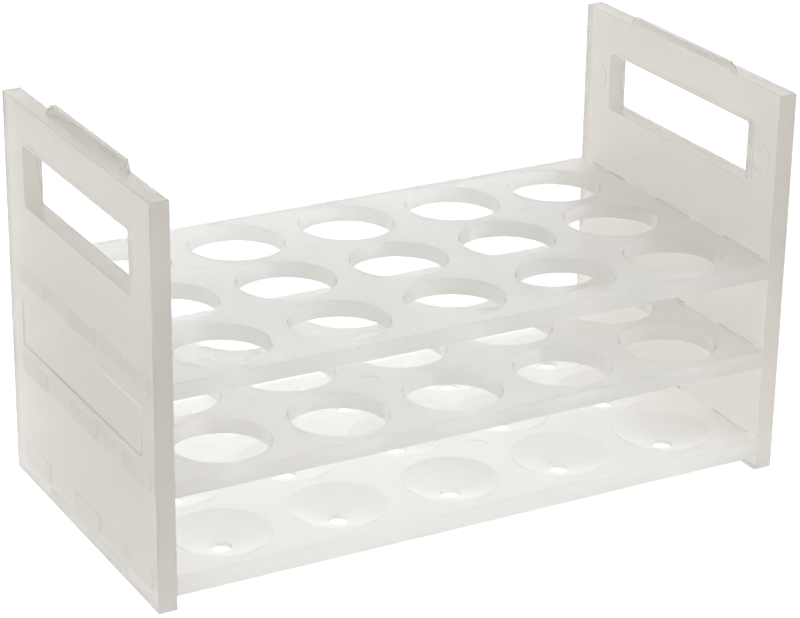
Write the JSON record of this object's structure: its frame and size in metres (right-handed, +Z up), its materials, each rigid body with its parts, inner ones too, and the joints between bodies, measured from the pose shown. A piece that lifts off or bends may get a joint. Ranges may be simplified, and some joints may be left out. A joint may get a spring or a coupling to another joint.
{
  "type": "test tube rack",
  "caption": "Stackable open rack for large test tubes: two end panels with hand holes join two shelves of round holes and a base shelf of dished wells.",
  "frame": {"origin": "middle of the footprint, at the level of the panels' feet", "axes": "+X along the rack, from panel to panel; +Y across the rack; +Z up"},
  "size_m": [0.213, 0.109, 0.1278],
  "materials": {
    "panel_plastic": "natural milky polypropylene, see-through, satin moulded surface",
    "shelf_plastic": "natural milky polypropylene, see-through, satin moulded surface"
  },
  "bodies": {
    "root": {"left_end_panel": "panel_plastic", "right_end_panel": "panel_plastic", "top_shelf": "shelf_plastic", "middle_shelf": "shelf_plastic", "bottom_shelf": "shelf_plastic"}
  },
  "joints": []
}
